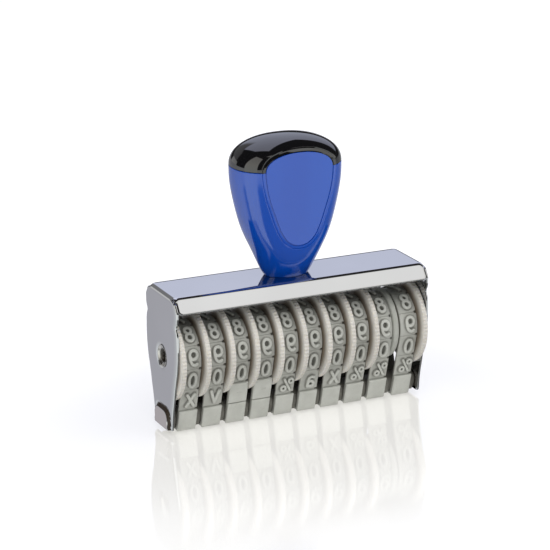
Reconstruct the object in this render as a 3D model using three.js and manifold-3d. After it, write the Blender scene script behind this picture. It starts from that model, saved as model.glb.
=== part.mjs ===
// Numbering stamp with ten rubber character bands, in millimetres, +Z up.
// X runs along the stamp (band 1 at -X), the front side is -Y.
// The origin is in the print face, midway between the end plates and midway front to rear.
import * as THREE from 'three';
import { mergeVertices } from 'three/addons/utils/BufferGeometryUtils.js';
import Module from 'manifold-3d';

const wasm = await Module();
wasm.setup();

// ---------------------------------------------------------------- driving dimensions
const LENGTH = 97.0;            // over the flat outer faces of the two end plates
const SHEET = 1.0;              // frame sheet thickness
const TOP_Z = 51.0;             // outer face of the top plate
const TOP_HALF = 10.7;          // half depth of the flat top plate, fold to fold
const LIP_HALF = 14.0;          // half depth at the lower edge of the slanted lips
const LIP_Z = 46.3;             // lower edge of the slanted lips
const BEND_R = 2.0;             // outer radius of the bends at the two ends
const PLATE_BOTTOM = 2.0;       // lower edge of the end plates
const BOSS_OUT = 0.8;           // how far the nose bar pockets are pressed outwards
const AXLE_Z = 27.5;            // axle centre above the print face
const AXLE_R = 2.5;             // outside radius of the axle tube
const AXLE_BORE_R = 1.7;        // bore of the axle tube
const WHEEL_R = 16.0;           // thumbwheel rim radius
const WHEEL_T = 2.0;            // thumbwheel rim thickness
const WHEEL_BORE_R = 2.565;     // runs on the axle with a little clearance
const DRUM_R = 10.3;            // hub drum that carries the band
const PITCH = 9.2;              // band to band
const BAND_W = 6.9;             // band width
const BAND1_X = -41.8;          // centre of band 1; bands 1 to 9 follow at PITCH
const BAND10_X = 41.8;          // centre of band 10, whose wheel is on its other side
const BAND_R = 11.7;            // outside of the band web where it runs round the drum
const BAND_T = 1.0;             // band web thickness
const RELIEF = 0.9;             // how far the characters stand out of the web
const NOSE_HALF = 4.25;         // half depth of the web's flat bottom run
const CELLS = 12;               // character fields round one band
const PAD_HALF = 3.3;           // half length of one raised character field
const SPACER_R = 12.7;          // plain disc between bands 9 and 10
const HANDLE_X = -0.9;          // the handle stands a little to the left of the middle
const SPLIT = 40.0;             // handle body to cap joint, above the top plate
const HANDLE_H = 50.3;          // handle height above the top plate
const FACET_Y = 11.9;           // flat oval faces on the handle's front and rear
const OVAL_N = 2.2;             // superellipse exponent of the handle's section
const SEG = 28;                 // segments of the turned pieces

// ---------------------------------------------------------------- helpers
// A closed three.js geometry as a solid for joining and cutting.
function solid(geometry) {
  let g = geometry.clone();
  for (const name of Object.keys(g.attributes)) if (name !== 'position') g.deleteAttribute(name);
  g = mergeVertices(g, 1e-4);
  // drop the triangles that merging the poles of a turned shape leaves without area
  const tri = [];
  const ix = g.index.array;
  for (let i = 0; i < ix.length; i += 3) {
    const [a, b, c] = [ix[i], ix[i + 1], ix[i + 2]];
    if (a !== b && b !== c && c !== a) tri.push(a, b, c);
  }
  return new wasm.Manifold(new wasm.Mesh({
    numProp: 3,
    vertProperties: new Float32Array(g.attributes.position.array),
    triVerts: new Uint32Array(tri),
  }));
}

// The solid's triangles as a geometry.
function shell(body) {
  const m = body.getMesh();
  const g = new THREE.BufferGeometry();
  const pos = new Float32Array(m.numVert * 3);
  for (let i = 0; i < m.numVert; i++) {
    for (let j = 0; j < 3; j++) pos[3 * i + j] = m.vertProperties[m.numProp * i + j];
  }
  g.setAttribute('position', new THREE.BufferAttribute(pos, 3));
  g.setIndex(new THREE.BufferAttribute(new Uint32Array(m.triVerts), 1));
  return g;
}

// A closed outline of [y, z] points, with optional hole outlines, run along X.
function alongX(points, x0, x1, holes = []) {
  const rim = points.map(([y, z]) => new THREE.Vector2(y, z));
  if (THREE.ShapeUtils.isClockWise(rim)) rim.reverse();
  const shape = new THREE.Shape(rim);
  for (const h of holes) shape.holes.push(new THREE.Path(h.map(([y, z]) => new THREE.Vector2(y, z))));
  const g = new THREE.ExtrudeGeometry(shape, { depth: x1 - x0, bevelEnabled: false });
  g.applyMatrix4(new THREE.Matrix4().makeBasis(
    new THREE.Vector3(0, 1, 0), new THREE.Vector3(0, 0, 1), new THREE.Vector3(1, 0, 0)));
  g.translate(x0, 0, 0);
  return g;
}

// A closed outline of [x, z] points run along Y.
function alongY(points, y0, y1) {
  const shape = new THREE.Shape(points.map(([x, z]) => new THREE.Vector2(x, z)));
  const g = new THREE.ExtrudeGeometry(shape, { depth: y1 - y0, bevelEnabled: false });
  g.applyMatrix4(new THREE.Matrix4().makeBasis(
    new THREE.Vector3(1, 0, 0), new THREE.Vector3(0, 0, 1), new THREE.Vector3(0, -1, 0)));
  g.translate(0, y1, 0);
  return g;
}

// A turned piece about the X axis from [radius, x] points.
function turnedX(points, segments = SEG) {
  const g = new THREE.LatheGeometry(points.map(([r, x]) => new THREE.Vector2(r, x)), segments);
  g.rotateZ(-Math.PI / 2);
  return g;
}

// A turned piece about the Z axis from [radius, z] points.
function turnedZ(points, segments = SEG) {
  const g = new THREE.LatheGeometry(points.map(([r, z]) => new THREE.Vector2(r, z)), segments);
  g.rotateX(Math.PI / 2);
  return g;
}

function box(x0, x1, y0, y1, z0, z1) {
  const g = new THREE.BoxGeometry(x1 - x0, y1 - y0, z1 - z0);
  g.translate((x0 + x1) / 2, (y0 + y1) / 2, (z0 + z1) / 2);
  return g;
}

// The right half of a symmetric outline, bottom to top, closed by its mirror image.
function mirrored(half) {
  return [...half, ...half.slice().reverse().filter(([a]) => Math.abs(a) > 1e-9).map(([a, b]) => [-a, b])];
}

const group = new THREE.Group();
const ABS_CREAM = { color: 0xd9d6cb, roughness: 0.45, metalness: 0.0 };
const RUBBER = { color: 0xaeb2a6, roughness: 0.75, metalness: 0.0 };
const CHROME = { color: 0xc9cad2, roughness: 0.18, metalness: 1.0 };
const STEEL = { color: 0xa9a9aa, roughness: 0.35, metalness: 1.0 };
const BLUE = { color: 0x0b3aa6, roughness: 0.22, metalness: 0.0 };
const BLACK = { color: 0x0a0a0d, roughness: 0.15, metalness: 0.0 };
const BRASS = { color: 0xb89a4c, roughness: 0.35, metalness: 1.0 };
const GREY_ABS = { color: 0x8f918c, roughness: 0.55, metalness: 0.0 };

function piece(name, geometry, finish, x = 0, y = 0, z = 0) {
  const mesh = new THREE.Mesh(geometry, new THREE.MeshStandardMaterial(finish));
  mesh.name = name;
  mesh.position.set(x, y, z);
  group.add(mesh);
  return mesh;
}

// ---------------------------------------------------------------- frame
// One folded and chromed sheet: top plate, two end plates and two slanted lips.
const HALF = LENGTH / 2;
{
  // side view of the sheet: down one end, over the top and down the other end
  const arc = (cx, cz, r, a0, a1, n) => Array.from({ length: n + 1 }, (_, i) => {
    const a = THREE.MathUtils.degToRad(a0 + (a1 - a0) * i / n);
    return [cx + r * Math.cos(a), cz + r * Math.sin(a)];
  });
  const sheetSide = [
    [HALF, PLATE_BOTTOM],
    ...arc(HALF - BEND_R, TOP_Z - BEND_R, BEND_R, 0, 90, 4),
    ...arc(-HALF + BEND_R, TOP_Z - BEND_R, BEND_R, 90, 180, 4),
    [-HALF, PLATE_BOTTOM], [-HALF + SHEET, PLATE_BOTTOM],
    ...arc(-HALF + BEND_R, TOP_Z - BEND_R, BEND_R - SHEET, 180, 90, 3),
    ...arc(HALF - BEND_R, TOP_Z - BEND_R, BEND_R - SHEET, 90, 0, 3),
    [HALF - SHEET, PLATE_BOTTOM],
  ];
  // outline seen from the end: lips at the top, a small waist, a belly over the axle, then the taper
  const outline = mirrored([
    [6.9, PLATE_BOTTOM], [7.5, 2.3], [7.75, 3.2], [8.3, 7.3], [9.2, 11.3], [9.9, 13.7], [10.9, 17.9],
    [11.9, 21.3], [13.2, 25.3], [13.9, 29.3], [14.1, 33.0], [13.95, 37.4], [13.6, 39.5],
    [12.9, 40.5], [12.9, 41.4], [13.6, 42.4], [14.0, 43.6], [LIP_HALF, LIP_Z], [TOP_HALF + 0.5, TOP_Z - 0.45],
    [TOP_HALF - 0.3, TOP_Z],
  ]);
  let frame = solid(alongY(sheetSide, -20, 20)).intersect(solid(alongX(outline, -HALF - 1, HALF + 1)));
  // the slanted lips, one sheet thickness, cut a little short of the end plates' outer faces
  const lip = (s) => {
    const pts = [
      [s * (TOP_HALF - 1.6), TOP_Z - SHEET], [s * (TOP_HALF - 1.6), TOP_Z], [s * (TOP_HALF - 0.3), TOP_Z],
      [s * (TOP_HALF + 0.5), TOP_Z - 0.45], [s * LIP_HALF, LIP_Z], [s * (LIP_HALF - 0.78), LIP_Z - 0.62],
      [s * (TOP_HALF - 0.35), TOP_Z - SHEET - 0.25], [s * (TOP_HALF - 0.8), TOP_Z - SHEET],
    ];
    return solid(alongX(s > 0 ? pts.slice().reverse() : pts, -HALF + 0.6, HALF - 0.6));
  };
  frame = frame.add(lip(1)).add(lip(-1));
  // arched pockets pressed outwards at the foot of each end plate, which take the nose bar's ends
  const arch = (half, top) => mirrored([
    [half, PLATE_BOTTOM], [half, top - 4.6], [half * 0.96, top - 3.3], [half * 0.84, top - 1.7],
    [half * 0.66, top - 0.7], [half * 0.42, top - 0.2], [0, top],
  ]);
  for (const s of [-1, 1]) {
    const out = s < 0 ? [-HALF - BOSS_OUT, -HALF + 0.4] : [HALF - 0.4, HALF + BOSS_OUT];
    frame = frame.add(solid(alongX(arch(6.2, 9.1), out[0], out[1])));
  }
  for (const s of [-1, 1]) {
    const inn = s < 0 ? [-HALF - BOSS_OUT + SHEET, -HALF + SHEET + 0.5] : [HALF - SHEET - 0.5, HALF + BOSS_OUT - SHEET];
    const pts = arch(5.3, 8.2).map(([y, z]) => [y, z === PLATE_BOTTOM ? PLATE_BOTTOM - 1 : z]);
    frame = frame.subtract(solid(alongX(pts, inn[0], inn[1])));
    // countersunk axle hole
    const hole = turnedX([[0, HALF - 1.5], [2.6, HALF - 1.5], [2.6, HALF - 0.8], [4.6, HALF], [4.85, HALF + 0.1], [0, HALF + 0.1]]);
    if (s < 0) hole.rotateZ(Math.PI);
    hole.translate(0, 0, AXLE_Z);
    frame = frame.subtract(solid(hole));
  }
  // hole for the handle screw
  const screwHole = turnedZ([[0, TOP_Z - 2], [2.9, TOP_Z - 2], [2.9, TOP_Z + 1], [0, TOP_Z + 1]], 24);
  screwHole.translate(HANDLE_X, 0, 0);
  frame = frame.subtract(solid(screwHole));
  piece('frame_shell', shell(frame), CHROME);
}

// ---------------------------------------------------------------- axle
// One steel tube through both end plates, its ends flared into the countersinks.
{
  const e = HALF - 0.05;
  piece('axle', turnedX([
    [AXLE_BORE_R, -e + 0.55], [3.4, -e], [3.9, -e + 0.15], [AXLE_R, -e + 0.7],
    [AXLE_R, e - 0.7], [3.9, e - 0.15], [3.4, e], [AXLE_BORE_R, e - 0.55], [AXLE_BORE_R, -e + 0.55],
  ]), STEEL, 0, 0, AXLE_Z);
}

// ---------------------------------------------------------------- thumbwheels
// A thin knurled wheel and, in one moulding with it, the drum that carries and drives the band.
const bandX = (k) => (k < 10 ? BAND1_X + PITCH * (k - 1) : BAND10_X);
const wheelX = (k) => bandX(k) + (k < 10 ? -1 : 1) * PITCH / 2;
for (let k = 1; k <= 10; k++) {
  const h = WHEEL_T / 2;
  const drumEnd = k < 10 ? PITCH / 2 + BAND_W / 2 - 0.05 : PITCH / 2 + BAND_W / 2 + 0.7;
  const g = turnedX([
    [WHEEL_BORE_R, -h], [WHEEL_R - 0.45, -h], [WHEEL_R, -h + 0.45], [WHEEL_R, h - 0.45], [WHEEL_R - 0.45, h],
    [DRUM_R, h], [DRUM_R, drumEnd], [WHEEL_BORE_R, drumEnd],
    [WHEEL_BORE_R, -h],
  ]);
  if (k === 10) g.rotateZ(Math.PI);
  piece(`thumbwheel_${String(k).padStart(2, '0')}`, g, ABS_CREAM, wheelX(k), 0, AXLE_Z);
}

// ---------------------------------------------------------------- number bands
// Endless rubber bands round drum and nose bar. Distance s runs along the web from the middle
// of the bottom run, first up the front, over the drum and down the rear.
const NOSE_Z = RELIEF;
const toNose = Math.hypot(NOSE_HALF, AXLE_Z - NOSE_Z);
const STRAIGHT = Math.sqrt(toNose ** 2 - BAND_R ** 2);
const CONTACT = Math.atan2(AXLE_Z - NOSE_Z, NOSE_HALF) - Math.acos(BAND_R / toNose); // below the horizontal
const WRAP = Math.PI + 2 * CONTACT;
const LOOP = 2 * NOSE_HALF + 2 * STRAIGHT + BAND_R * WRAP;
const FIELD = LOOP / CELLS;
function onBand(s, d) {
  let t = ((s % LOOP) + LOOP) % LOOP;
  let side = -1;
  if (t > LOOP / 2) { t = LOOP - t; side = 1; }
  let y; let z; let ny; let nz;
  if (t <= NOSE_HALF) { [y, z, ny, nz] = [t, NOSE_Z, 0, -1]; } else if (t <= NOSE_HALF + STRAIGHT) {
    const u = t - NOSE_HALF;
    y = NOSE_HALF + u * Math.sin(CONTACT); z = NOSE_Z + u * Math.cos(CONTACT);
    ny = Math.cos(CONTACT); nz = -Math.sin(CONTACT);
  } else {
    const a = -CONTACT + (t - NOSE_HALF - STRAIGHT) / BAND_R;
    ny = Math.cos(a); nz = Math.sin(a);
    y = BAND_R * ny; z = AXLE_Z + BAND_R * nz;
  }
  return [side * (y + d * ny), z + d * nz];
}
{
  const outer = [];
  for (let i = 0; i < CELLS; i++) {
    const c = i * FIELD;
    const curved = Math.min(c, LOOP - c) > NOSE_HALF + STRAIGHT - 4;
    if (i === 1) outer.push(onBand(NOSE_HALF, 0));
    outer.push(onBand(c - PAD_HALF - 0.2, 0), onBand(c - PAD_HALF, RELIEF));
    if (curved) outer.push(onBand(c - 1.1, RELIEF), onBand(c + 1.1, RELIEF));
    outer.push(onBand(c + PAD_HALF, RELIEF), onBand(c + PAD_HALF + 0.2, 0));
    if (i === CELLS - 1) outer.push(onBand(LOOP - NOSE_HALF, 0));
  }
  const inner = [];
  const drop = NOSE_HALF + BAND_T * Math.tan(CONTACT) - BAND_T / Math.cos(CONTACT);
  inner.push([drop, NOSE_Z + BAND_T], [-drop, NOSE_Z + BAND_T]);
  for (let i = 0; i <= 14; i++) {
    const a = Math.PI + CONTACT - WRAP * i / 14;
    inner.push([(BAND_R - BAND_T) * Math.cos(a), AXLE_Z + (BAND_R - BAND_T) * Math.sin(a)]);
  }
  for (let k = 1; k <= 10; k++) {
    piece(`number_band_${String(k).padStart(2, '0')}`,
      alongX(outer, -BAND_W / 2, BAND_W / 2, [inner]), RUBBER, bandX(k), 0, 0);
  }
}

// ---------------------------------------------------------------- spacer disc
// Plain disc on the axle that fills the place between bands 9 and 10, where no wheel stands.
piece('spacer_disc', turnedX([
  [WHEEL_BORE_R, -1], [SPACER_R - 0.3, -1], [SPACER_R, -0.7], [SPACER_R, 0.7], [SPACER_R - 0.3, 1],
  [WHEEL_BORE_R, 1], [WHEEL_BORE_R, -1],
]), GREY_ABS, 36.35, 0, AXLE_Z);

// ---------------------------------------------------------------- nose bar
// Moulded bar inside the lower loops of all bands, with low ribs that keep the bands apart.
{
  const section = mirrored([
    [3.3, 2.2], [3.6, 3.2], [4.1, 4.8], [4.25, 5.6], [4.0, 6.6], [3.2, 7.4], [2.0, 7.85], [0, 7.95],
  ]);
  const rib = mirrored([
    [3.9, 1.5], [5.0, 5.0], [4.7, 7.2], [3.2, 8.6], [0, 9.0],
  ]);
  let bar = solid(alongX(section, -HALF + 0.3, HALF - 0.3));
  for (const x of [...Array.from({ length: 9 }, (_, i) => wheelX(i + 1)), 36.8, wheelX(10)]) {
    bar = bar.add(solid(alongX(rib, x - 0.8, x + 0.8)));
  }
  piece('nose_bar', shell(bar), GREY_ABS);
}

// ---------------------------------------------------------------- handle
// Egg-shaped grip on a round neck: blue body, black cap, flat oval faces front and rear.
// Half widths along X and Y at heights above the top plate.
const STATIONS = [
  [0.1, 8.4, 8.1], [1.0, 8.2, 7.95], [3.0, 8.7, 8.4], [7.0, 10.7, 10.0], [11.0, 12.7, 11.4], [14.0, 14.2, 12.3],
  [19.0, 16.3, 13.2], [25.0, 18.1, 13.9], [31.0, 19.35, 14.6], [36.0, 19.95, 15.0], [SPLIT, 20.0, 15.2],
];
{
  const rings = STATIONS.map((r) => r.slice());
  const n = 9;
  for (let i = 1; i <= n; i++) {
    const t = (Math.PI / 2) * i / n;
    const c = Math.max(Math.cos(t), 0) ** (2 / 2.2);
    const s = Math.sin(t) ** (2 / 2.2);
    rings.push([SPLIT + (HANDLE_H - SPLIT) * s, 20.0 * c, 15.2 * c]);
  }
  // a turned shape whose rings are then pressed into superellipses
  const profile = [[0, rings[0][0]], ...rings.map(([z, a]) => [a, z])];
  profile[profile.length - 1] = [0, HANDLE_H];
  const g = turnedZ(profile, 40);
  const p = g.attributes.position;
  const ratio = (z) => {
    for (let i = 1; i < rings.length; i++) {
      if (z <= rings[i][0] + 1e-6) {
        const [z0, a0, b0] = rings[i - 1]; const [z1, a1, b1] = rings[i];
        const f = Math.min(Math.max((z - z0) / (z1 - z0), 0), 1);
        const r0 = a0 > 0 ? b0 / a0 : 0.76; const r1 = a1 > 1e-6 ? b1 / a1 : 0.76;
        return r0 + (r1 - r0) * f;
      }
    }
    return 0.76;
  };
  const squareness = (z) => 2 + (OVAL_N - 2) * Math.min(Math.max((z - 3) / 10, 0), 1);
  for (let i = 0; i < p.count; i++) {
    const [x, y, z] = [p.getX(i), p.getY(i), p.getZ(i)];
    const r = Math.hypot(x, y);
    if (r < 1e-6) continue;
    const e = 2 / squareness(z);
    const cx = Math.sign(x) * Math.abs(x / r) ** e; const cy = Math.sign(y) * Math.abs(y / r) ** e;
    p.setXYZ(i, r * cx, r * cy * ratio(z), z);
  }
  // the outline of the flat oval face: the section of the egg at y = FACET_Y
  const half = [];
  for (const [z, a, b] of rings) {
    if (b > FACET_Y) half.push([a * (1 - (FACET_Y / b) ** OVAL_N) ** (1 / OVAL_N), z]);
  }
  half.unshift([0, half[0][1] - 0.9]);
  half.push([0, half[half.length - 1][1] + 0.9]);
  const grow = (pts, d) => pts.map(([x, z]) => {
    const v = new THREE.Vector2(x, z - 32).normalize();
    return [x + d * v.x, z + d * v.y];
  });
  const ovalHalf = half.map(([x, z]) => [x, z]);
  const oval = (d) => {
    const pts = grow(ovalHalf, d);
    return [...pts, ...pts.slice(1, -1).reverse().map(([x, z]) => [-x, z])];
  };
  const egg = solid(g);
  const flats = egg.intersect(solid(box(-30, 30, -FACET_Y, FACET_Y, -1, 60)));
  // blue body: everything below the joint, and the upper ends of the oval faces
  const below = solid(box(-30, 30, -30, 30, -1, SPLIT));
  const ears = solid(alongY(oval(0), -20, 20)).subtract(solid(box(-30, 30, -9.2, 9.2, -1, 60)));
  const sleeve = (kx, ky, z0, z1) => {
    const c = new THREE.CylinderGeometry(1, 1, z1 - z0, 28);
    c.rotateX(Math.PI / 2); c.scale(kx, ky, 1); c.translate(0, 0, (z0 + z1) / 2);
    return solid(c);
  };
  let body = flats.intersect(below.add(ears));
  body = body.subtract(sleeve(14.3, 7.8, SPLIT - 4, SPLIT + 1));        // seat of the cap's plug
  body = body.subtract(sleeve(4.3, 4.3, -1, 18));                       // seat of the threaded insert
  let cap = flats.intersect(solid(box(-30, 30, -30, 30, SPLIT + 0.15, 60)));
  cap = cap.subtract(solid(alongY(oval(0.25), -20, 20)).subtract(solid(box(-30, 30, -8.95, 8.95, -1, 60))));
  cap = cap.add(sleeve(14.0, 7.5, SPLIT - 3.6, SPLIT + 2));
  piece('handle_body', shell(body), BLUE, HANDLE_X, 0, TOP_Z);
  piece('handle_cap', shell(cap), BLACK, HANDLE_X, 0, TOP_Z);
}
// brass insert moulded into the handle's neck
piece('handle_insert', turnedZ([
  [2.6, 0.6], [4.0, 0.6], [4.0, 6.0], [3.5, 6.5], [3.5, 9.0], [4.0, 9.5], [4.0, 16.0], [2.6, 16.0], [2.6, 0.6],
], 24), BRASS, HANDLE_X, 0, TOP_Z);
// washer and slotted screw that hold the handle from inside the frame
piece('screw_washer', turnedZ([
  [2.7, -0.85], [5.0, -0.85], [5.0, -0.05], [2.7, -0.05], [2.7, -0.85],
], 24), STEEL, HANDLE_X, 0, TOP_Z - SHEET);
{
  const screw = turnedZ([
    [0, -3.4], [3.4, -3.4], [4.3, -2.6], [4.4, -0.95], [2.45, -0.95], [2.45, 14.4], [2.0, 15.0], [0, 15.0],
  ], 24);
  const slot = box(-6, 6, -0.55, 0.55, -4, -2.2);
  piece('handle_screw', shell(solid(screw).subtract(solid(slot))), STEEL, HANDLE_X, 0, TOP_Z - SHEET);
}

export default group;
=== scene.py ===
import math
import bpy
import bmesh
import numpy as np
from mathutils import Matrix, Vector


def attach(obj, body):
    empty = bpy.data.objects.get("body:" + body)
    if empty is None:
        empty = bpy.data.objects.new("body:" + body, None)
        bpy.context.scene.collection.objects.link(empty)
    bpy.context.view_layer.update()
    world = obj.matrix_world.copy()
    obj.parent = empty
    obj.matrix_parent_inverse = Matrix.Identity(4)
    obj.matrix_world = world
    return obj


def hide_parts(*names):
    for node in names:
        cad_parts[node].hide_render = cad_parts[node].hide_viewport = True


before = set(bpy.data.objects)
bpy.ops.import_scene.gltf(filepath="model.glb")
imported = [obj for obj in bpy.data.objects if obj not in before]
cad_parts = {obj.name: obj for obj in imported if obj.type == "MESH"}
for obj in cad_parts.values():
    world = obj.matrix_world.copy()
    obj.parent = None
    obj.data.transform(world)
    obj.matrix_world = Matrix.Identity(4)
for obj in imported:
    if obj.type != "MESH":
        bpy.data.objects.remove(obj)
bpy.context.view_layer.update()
MM = 0.001

# ------------------------------------------------------------------ sizes, in millimetres (as in the solid model)
HALF = 48.5
SHEET = 1.0
TOP_Z = 51.0
BEND = 2.0
AXLE_Z = 27.5
WHEEL_R, WHEEL_T = 16.0, 2.0
WHEEL_BORE, DRUM_R = 2.565, 10.3
PITCH, BAND_W = 9.2, 6.9
BAND_X = [-41.8 + PITCH * k for k in range(9)] + [41.8]
WHEEL_X = [x - PITCH / 2 for x in BAND_X[:9]] + [BAND_X[9] + PITCH / 2]
BAND_R, BAND_T, RELIEF, NOSE_HALF = 11.7, 1.0, 0.9, 4.25
CELLS = 12
HANDLE_X, SPLIT, HANDLE_H, FACET = -0.9, 40.0, 50.3, 11.9


# ------------------------------------------------------------------ mesh helpers
def new_object(name, verts, faces, attr=None):
    """A mesh object from millimetre coordinates."""
    me = bpy.data.meshes.new(name)
    v = np.asarray(verts, dtype=np.float64) * MM
    me.from_pydata(v.tolist(), [], [list(map(int, f)) for f in faces])
    if attr is not None:
        for key, vals in attr.items():
            a = me.attributes.new(key, "FLOAT", "POINT")
            a.data.foreach_set("value", np.asarray(vals, dtype=np.float32))
    me.validate()
    o = bpy.data.objects.new(name, me)
    bpy.context.scene.collection.objects.link(o)
    return o


def tidy(o, merge=1e-7, angle=None, recalc=True):
    """Welds coincident points, turns the normals outwards and sets smooth shading, with sharp edges over the angle."""
    bm = bmesh.new()
    bm.from_mesh(o.data)
    if merge:
        bmesh.ops.remove_doubles(bm, verts=bm.verts, dist=merge)
        bmesh.ops.dissolve_degenerate(bm, edges=bm.edges, dist=merge)
    if recalc:
        bmesh.ops.recalc_face_normals(bm, faces=bm.faces)
    for f in bm.faces:
        f.smooth = True
    if angle is not None:
        lim = math.radians(angle)
        for e in bm.edges:
            e.smooth = not (len(e.link_faces) == 2 and e.calc_face_angle(0.0) > lim)
    bm.to_mesh(o.data)
    bm.free()
    o.data.update()
    return o


def ring_faces(nu, nv, base=0, close_u=False, close_v=True):
    """Quads of a grid of nu loops with nv points each."""
    out = []
    for i in range(nu if close_u else nu - 1):
        a, b = base + i * nv, base + ((i + 1) % nu) * nv
        for j in range(nv if close_v else nv - 1):
            k = (j + 1) % nv
            out.append((a + j, a + k, b + k, b + j))
    return out


def apply_mods(o):
    dg = bpy.context.evaluated_depsgraph_get()
    me = bpy.data.meshes.new_from_object(o.evaluated_get(dg), preserve_all_data_layers=True, depsgraph=dg)
    o.modifiers.clear()
    old = o.data
    o.data = me
    bpy.data.meshes.remove(old)
    return o


def boolean(o, other, op="DIFFERENCE", keep=False):
    m = o.modifiers.new("cut", "BOOLEAN")
    m.operation, m.object, m.solver = op, other, "MANIFOLD"
    apply_mods(o)
    if not keep:
        bpy.data.objects.remove(other)
    return o


def prism(name, outline, lo, hi, axis="y"):
    """A plain extruded outline, used only as a cutting tool."""
    n = len(outline)
    put = {"y": lambda a, b, c: (a, c, b), "z": lambda a, b, c: (a, b, c), "x": lambda a, b, c: (c, a, b)}[axis]
    v = [put(a, b, lo) for a, b in outline] + [put(a, b, hi) for a, b in outline]
    return tidy(new_object(name, v, [tuple(range(n)), tuple(range(n, 2 * n))] + ring_faces(2, n)))


def lathe_x(name, profile, x0=0.0, z0=AXLE_Z, seg=96, attr=None):
    """A turned ring about X from a closed list of (radius, x) points."""
    th = np.arange(seg) * 2 * math.pi / seg
    P = np.array(profile, dtype=float)
    V = np.zeros((seg, len(P), 3))
    V[:, :, 0] = x0 + P[None, :, 1]
    V[:, :, 1] = P[None, :, 0] * np.cos(th)[:, None]
    V[:, :, 2] = z0 + P[None, :, 0] * np.sin(th)[:, None]
    return new_object(name, V.reshape(-1, 3), ring_faces(seg, len(P), close_u=True), attr)


def smooth01(t):
    t = np.clip(t, 0.0, 1.0)
    return t * t * (3 - 2 * t)


def cubic(xs, ys, x, end_slope=None):
    """Natural cubic spline, with a given slope at the last point if wanted."""
    xs, ys = np.asarray(xs, float), np.asarray(ys, float)
    n = len(xs)
    h = np.diff(xs)
    A, r = np.zeros((n, n)), np.zeros(n)
    A[0, 0] = 1
    for i in range(1, n - 1):
        A[i, i - 1], A[i, i], A[i, i + 1] = h[i - 1], 2 * (h[i - 1] + h[i]), h[i]
        r[i] = 3 * ((ys[i + 1] - ys[i]) / h[i] - (ys[i] - ys[i - 1]) / h[i - 1])
    if end_slope is None:
        A[-1, -1] = 1
    else:
        A[-1, -2], A[-1, -1] = h[-1], 2 * h[-1]
        r[-1] = 3 * (end_slope - (ys[-1] - ys[-2]) / h[-1])
    c = np.linalg.solve(A, r)
    x = np.asarray(x, float)
    i = np.clip(np.searchsorted(xs, x, side="right") - 1, 0, n - 2)
    d = (c[i + 1] - c[i]) / (3 * h[i])
    b = (ys[i + 1] - ys[i]) / h[i] - h[i] * (2 * c[i] + c[i + 1]) / 3
    t = x - xs[i]
    return ys[i] + b * t + c[i] * t**2 + d * t**3


# ------------------------------------------------------------------ material helpers
class Mat:
    """A small builder for procedural materials."""

    def __init__(self, name):
        self.m = bpy.data.materials.new(name)
        self.m.use_nodes = True
        self.t = self.m.node_tree
        self.t.nodes.clear()
        self.out = self.t.nodes.new("ShaderNodeOutputMaterial")
        self.p = self.t.nodes.new("ShaderNodeBsdfPrincipled")
        self.t.links.new(self.p.outputs[0], self.out.inputs[0])
        self.co = self.t.nodes.new("ShaderNodeTexCoord").outputs["Object"]

    def n(self, kind, **kw):
        node = self.t.nodes.new(kind)
        for k, v in kw.items():
            setattr(node, k, v)
        return node

    def link(self, a, b):
        self.t.links.new(a, b)

    def scaled(self, sx, sy, sz):
        m = self.n("ShaderNodeMapping")
        m.inputs["Scale"].default_value = (sx, sy, sz)
        self.link(self.co, m.inputs["Vector"])
        return m.outputs[0]

    def noise(self, scale, detail=3.0, rough=0.55, vector=None, distortion=0.0):
        x = self.n("ShaderNodeTexNoise")
        x.inputs["Scale"].default_value = scale
        x.inputs["Detail"].default_value = detail
        x.inputs["Roughness"].default_value = rough
        x.inputs["Distortion"].default_value = distortion
        self.link(vector if vector is not None else self.co, x.inputs["Vector"])
        return x.outputs["Fac"]

    def map(self, value, a, b, c, d, smooth=False):
        x = self.n("ShaderNodeMapRange")
        if smooth:
            x.interpolation_type = "SMOOTHSTEP"
        for i, v in enumerate((a, b, c, d)):
            x.inputs[i + 1].default_value = v
        self.link(value, x.inputs[0])
        return x.outputs[0]

    def math(self, op, a, b=None, clamp=False):
        x = self.n("ShaderNodeMath", operation=op, use_clamp=clamp)
        for i, v in enumerate((a, b)):
            if v is None:
                continue
            if isinstance(v, (int, float)):
                x.inputs[i].default_value = v
            else:
                self.link(v, x.inputs[i])
        return x.outputs[0]

    def mix(self, fac, a, b, blend="MIX"):
        x = self.n("ShaderNodeMix", data_type="RGBA", blend_type=blend)
        if isinstance(fac, (int, float)):
            x.inputs[0].default_value = fac
        else:
            self.link(fac, x.inputs[0])
        for i, v in ((6, a), (7, b)):
            if isinstance(v, tuple):
                x.inputs[i].default_value = (*v, 1.0)
            else:
                self.link(v, x.inputs[i])
        return x.outputs[2]

    def attr(self, name):
        return self.n("ShaderNodeAttribute", attribute_name=name).outputs["Fac"]

    def bump(self, height, strength, distance, normal=None):
        x = self.n("ShaderNodeBump")
        x.inputs["Strength"].default_value = strength
        x.inputs["Distance"].default_value = distance
        self.link(height, x.inputs["Height"])
        if normal is not None:
            self.link(normal, x.inputs["Normal"])
        return x.outputs[0]

    def set(self, **kw):
        for k, v in kw.items():
            s = self.p.inputs[k.replace("_", " ")]
            if isinstance(v, (int, float)):
                s.default_value = v
            elif isinstance(v, tuple):
                s.default_value = (*v, 1.0) if len(v) == 3 and s.type == "RGBA" else v
            else:
                self.link(v, s)
        return self


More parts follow.
